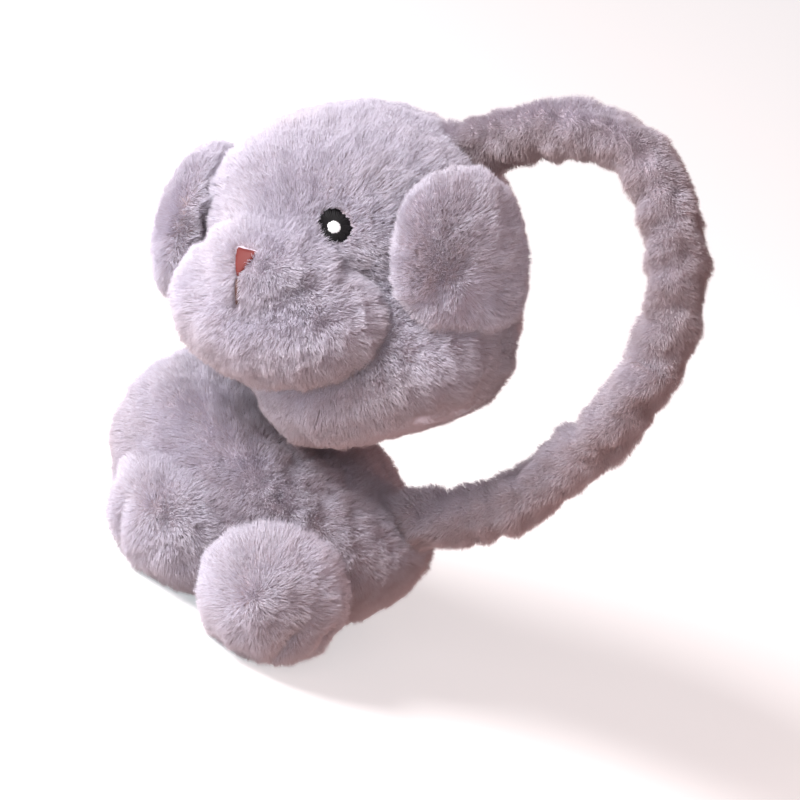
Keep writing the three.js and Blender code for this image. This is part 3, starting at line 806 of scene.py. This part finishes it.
def sleeve(name, first, last, cut_start, cut_end):
    """A fur tube closed by hand along its inside front, where the two lips of its seam stand up."""
    line = route_points(first, last)
    line = line[cut_start:len(line) - cut_end]
    along = np.gradient(line, axis=0)
    along /= np.linalg.norm(along, axis=1, keepdims=True)
    outwards = np.stack([-along[:, 2], np.zeros(len(line)), along[:, 0]], axis=1)
    around = 56 if FINE else 32
    angles = np.linspace(0, 2 * math.pi, around, endpoint=False)
    forwards = np.array([0, -1.0, 0])
    ring = np.cos(angles)[None, :, None] * outwards[:, None] + np.sin(angles)[None, :, None] * forwards
    apart = (angles - SEAM_ANGLE + math.pi) % (2 * math.pi) - math.pi
    run = np.arange(len(line)) * SLEEVE_STEP
    stitch = 0.5 + 0.5 * np.cos(2 * math.pi * run / SEAM_PITCH)
    lips = LIP_HEIGHT * np.exp(-(((np.abs(apart) - 0.48) / 0.22) ** 2))
    groove = -SEAM_DEPTH * np.exp(-((apart / 0.16) ** 2)) + lips
    radius = SLEEVE_RADIUS - SLEEVE_INSET + groove[None, :] * (0.75 + 0.35 * stitch[:, None])
    points = line[:, None] + ring * radius[:, :, None]
    radius = radius + 0.9 * locks(points.reshape(-1, 3))[0].reshape(radius.shape)
    radius += 0.8 * lumps(points.reshape(-1, 3))[0].reshape(radius.shape)
    points = (line[:, None] + ring * radius[:, :, None]).reshape(-1, 3)
    rows = len(line)
    faces = []
    for i in range(rows - 1):
        for j in range(around):
            k = (j + 1) % around
            faces.append((i * around + j, i * around + k, (i + 1) * around + k, (i + 1) * around + j))
    faces.append(tuple(range(around - 1, -1, -1)))
    faces.append(tuple((rows - 1) * around + j for j in range(around)))
    piece = make(name, points, faces)
    relief(piece, 0.35, BAND_SHADE_BIAS)
    piece.data.materials.append(FUR_SKIN)
    return piece


def fold_span(index):
    """The points between which the sleeve bends round a fold."""
    corners = (ROUTE[k] for k in (index - 1, index, index + 1))
    before, at, after = (np.array([x, BAND_Y, z], float) for x, z in corners)
    way = (after - before) / np.linalg.norm(after - before)
    return to_metres(at - FOLD_REACH * way), to_metres(at + FOLD_REACH * way), at, way


def sleeve_hairs(piece, index, before_body, after_body, keep):
    """Hairs on each side of a fold ride on the body of their side."""
    _, _, at, way = fold_span(index)
    for name, body_name, sign in (("a", before_body, -1), ("b", after_body, 1)):
        def side(roots, sign=sign):
            return (sign * ((roots - at) @ way) >= 0) & keep(roots)
        strands(f"{piece.name}_hairs_{name}", piece, body_name, at - 400 * way, lean=0.7,
                length=BAND_FUR_LENGTH, keep=side, shade_bias=BAND_SHADE_BIAS, seed=31 + index)


upper_sleeve = sleeve("sleeve_upper", 0, CROWN_MIDDLE, 4, 0)
lower_sleeve = sleeve("sleeve_lower", CROWN_MIDDLE, len(ROUTE) - 1, 0, 4)
for piece, index, before_body, after_body, nodes in (
    (upper_sleeve, UPPER_FOLD, "upper_arm", "crown",
     ("upper_arm_sleeve", "crown_sleeve", "upper_arm_wadding", "crown_wadding")),
    (lower_sleeve, LOWER_FOLD, "crown", "lower_arm",
     ("lower_arm_sleeve", "lower_arm_wadding")),
):
    sleeve_hairs(piece, index, before_body, after_body, outside(skull, torso, depth=1))
    start, end, _, _ = fold_span(index)
    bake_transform(piece)
    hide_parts(*nodes)


# ---- embroidery ----
def stitched_disc(name, place, radius, rise, spokes, thread_material, body_name, node, ragged=0.3):
    """Satin stitches laid outwards round a middle, with a ragged edge. Its frame's -Y faces out."""
    rng = np.random.default_rng(spokes)
    rings = np.linspace(0, 1, 9)[1:]
    around = spokes * 4
    angles = np.linspace(0, 2 * math.pi, around, endpoint=False)
    reach = radius * (1 + ragged / radius * np.repeat(rng.uniform(-1, 0.6, spokes), 4))
    points = [(0, -rise, 0)]
    for ring in rings:
        ridge = 0.14 * np.cos(angles * spokes) * ring
        height = rise * math.sqrt(max(0, 1 - ring**2.6)) + ridge
        across, upwards = reach * ring * np.cos(angles), reach * ring * np.sin(angles)
        points += list(zip(across, -height, upwards))
    points += [(0.9 * r * math.cos(t), STITCH_BACK, 0.9 * r * math.sin(t)) for r, t in zip(reach, angles)]
    points.append((0, STITCH_BACK, 0))
    faces = [(0, 1 + (j + 1) % around, 1 + j) for j in range(around)]
    for i in range(len(rings)):
        low, high = 1 + i * around, 1 + (i + 1) * around
        for j in range(around):
            k = (j + 1) % around
            faces.append((low + j, low + k, high + k, high + j))
    last = 1 + len(rings) * around
    faces += [(last + j, last + (j + 1) % around, len(points) - 1) for j in range(around)]
    points = place[0] + np.array(points) @ place[1].T
    piece = make(name, points, faces)
    piece.data.materials.append(thread_material)
    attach(piece, body_name)
    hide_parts(node)
    return piece


for side, place in eye_places.items():
    eye = stitched_disc(f"eye_{side}", place, EYE_RADIUS, 1.1, 44, BLACK_THREAD, "head_muff",
                        f"eye_{side}", 0.8)
    glint_place = (point_in(place, (0, -0.75, -0.4)), place[1])
    glint = stitched_disc(f"eye_{side}_white", glint_place, GLINT_RADIUS, 0.7, 16, WHITE_THREAD, "head_muff",
                          f"eye_{side}_glint", 0.2)


def stitched_patch(name, rows, thread_material, body_name, node):
    """A small satin-stitched patch on the snout.

    Its rows are (half width, height) in the head's frame, top first."""
    across = 13
    forwards = -HEAD[1][:, 1]
    points = []
    for half, z in rows:
        for k in range(across):
            share = -1 + 2 * k / (across - 1)
            on_skin, _ = face_skins.outermost(point_in(HEAD, (half * share, -30, z)), forwards)
            crown = PATCH_RISE * math.sqrt(max(0, 1 - share**4))
            points.append(on_skin + forwards * (crown + 0.08 * (k % 2)))
    backs = [point - STITCH_BACK * forwards for point in points]
    count = len(points)
    faces = []
    for i in range(len(rows) - 1):
        for k in range(across - 1):
            corner = i * across + k
            quad = (corner, corner + 1, corner + across + 1, corner + across)
            faces += [quad[::-1], tuple(index + count for index in quad)]
    rim = [*range(across), *(i * across + across - 1 for i in range(1, len(rows))),
           *(count - 1 - k for k in range(1, across)), *(i * across for i in range(len(rows) - 2, 0, -1))]
    faces += [(a, b, b + count, a + count) for a, b in zip(rim, rim[1:] + rim[:1])]
    piece = make(name, points + backs, faces)
    piece.data.materials.append(thread_material)
    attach(piece, body_name)
    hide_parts(node)


stitched_patch("nose", NOSE_ROWS, NOSE_THREAD, "head_muff", "nose")
stitched_patch("mouth", MOUTH_ROWS, BROWN_THREAD, "head_muff", "mouth_stitch")


def thread(name, path, radius, thread_material, body_name, node):
    """A round thread along a path of points."""
    path = np.array(path, float)
    along = np.gradient(path, axis=0)
    along /= np.linalg.norm(along, axis=1, keepdims=True)
    across = np.cross(along, (0.3, 0.2, 1.0))
    across /= np.linalg.norm(across, axis=1, keepdims=True)
    third = np.cross(along, across)
    angles = np.linspace(0, 2 * math.pi, 10, endpoint=False)
    ring = np.cos(angles)[None, :, None] * across[:, None] + np.sin(angles)[None, :, None] * third[:, None]
    points = (path[:, None] + radius * ring).reshape(-1, 3)
    sides, rows = len(angles), len(path)
    faces = []
    for i in range(rows - 1):
        for j in range(sides):
            k = (j + 1) % sides
            faces.append((i * sides + j, i * sides + k, (i + 1) * sides + k, (i + 1) * sides + j))
    faces += [tuple(range(sides - 1, -1, -1)), tuple((rows - 1) * sides + j for j in range(sides))]
    piece = make(name, points, faces)
    piece.data.materials.append(thread_material)
    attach(piece, body_name)
    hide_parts(node)


for side in legs:
    origin, axes = leg_places[side]
    for number, toe in enumerate(toe_angles(side), 1):
        path = []
        sideways, forwards = math.sin(math.radians(toe)), -math.cos(math.radians(toe))
        for down in np.radians(np.linspace(4, 38, 14)):
            level = math.cos(down)
            way = axes @ np.array([sideways * level, forwards * level, -math.sin(down)])
            path.append(foot_skins[side].outermost(origin, way)[0] + 0.1 * way)
        thread(f"toe_stitch_{side}_{number}", path, TOE_THREAD, BROWN_THREAD, "body_muff",
               f"leg_{side}_toe_stitch_{number}")

# ---- the plates, strips and pins inside keep their CAD shapes, with finishes of their own ----
INNER_FINISHES = {
    "plate": material("black_plastic", (0.03, 0.03, 0.032), 0.45),
    "strip": material("strip_plastic", (0.03, 0.03, 0.032), 0.4),
    "pin": material("steel_wire", (0.60, 0.61, 0.62), 0.3, metallic=1.0),
}
for name, node in frame["nodes"].items():
    for word, finish_material in INNER_FINISHES.items():
        if word in name:
            node.data.materials.clear()
            node.data.materials.append(finish_material)

# ---- studio ----
bpy.ops.mesh.primitive_plane_add(size=30, location=(0, 0, 0))
floor = bpy.context.object
floor.name = "floor"
FLOOR_WHITE = material("floor_white", (0.93, 0.88, 0.86), 0.9)
floor_shader = FLOOR_WHITE.node_tree.nodes["Principled BSDF"]
floor_shader.inputs["Emission Color"].default_value = (0.88, 0.96, 1.0, 1)
floor_shader.inputs["Emission Strength"].default_value = 0.5
floor.data.materials.append(FLOOR_WHITE)

world = bpy.data.worlds.new("studio")
world.use_nodes = True
world.node_tree.nodes["Background"].inputs["Color"].default_value = (1.0, 0.70, 0.67, 1)
world.node_tree.nodes["Background"].inputs["Strength"].default_value = 0.24
bpy.context.scene.world = world


def view_axes():
    """The view's right, up and towards-the-viewer directions."""
    azimuth, elevation, roll = map(math.radians, (VIEW_AZIMUTH, VIEW_ELEVATION, VIEW_ROLL))
    back = np.array([math.sin(azimuth) * math.cos(elevation), -math.cos(azimuth) * math.cos(elevation),
                     math.sin(elevation)])
    flat = np.array([math.cos(azimuth), math.sin(azimuth), 0])
    upright = np.cross(back, flat)
    right = flat * math.cos(roll) + upright * math.sin(roll)
    return right, np.cross(back, right), back


RIGHT, UP, BACK = view_axes()


def area_light(name, towards, distance, size, power, colour):
    """A soft light, at a direction from the object given along the view's right, up and back."""
    way = towards[0] * RIGHT + towards[1] * UP + towards[2] * BACK
    way /= np.linalg.norm(way)
    lamp = bpy.data.lights.new(name, "AREA")
    lamp.shape, lamp.size, lamp.energy, lamp.color = "DISK", size, power, colour
    holder = bpy.data.objects.new(name, lamp)
    holder.location = to_metres(VIEW_AT) + way * distance
    holder.rotation_mode = "QUATERNION"
    holder.rotation_quaternion = Vector(way).to_track_quat("Z", "Y")
    COLLECTION.objects.link(holder)


area_light("key", (-0.66, 0.81, 0.73), 1.3, 0.6, 26.5, (0.98, 0.98, 1.0))
area_light("fill", (0.1, 0.2, 1.0), 1.6, 1.0, 4, (0.99, 0.97, 1.0))
area_light("warm_bounce", (0.9, -0.35, 0.25), 0.9, 0.5, 2.6, (1.0, 0.52, 0.42))

camera = bpy.data.cameras.new("camera")
camera.sensor_width = SENSOR
camera.lens = SENSOR * VIEW_DISTANCE / VIEW_WIDTH
camera.clip_start, camera.clip_end = 0.01, 100
viewer = bpy.data.objects.new("camera", camera)
axes = np.eye(4)
axes[:3, 0], axes[:3, 1], axes[:3, 2] = RIGHT, UP, BACK
axes[:3, 3] = to_metres(VIEW_AT) + BACK * VIEW_DISTANCE / 1000
viewer.matrix_world = Matrix(axes.tolist())
COLLECTION.objects.link(viewer)
bpy.context.scene.camera = viewer
bpy.context.scene.view_settings.view_transform = "Standard"
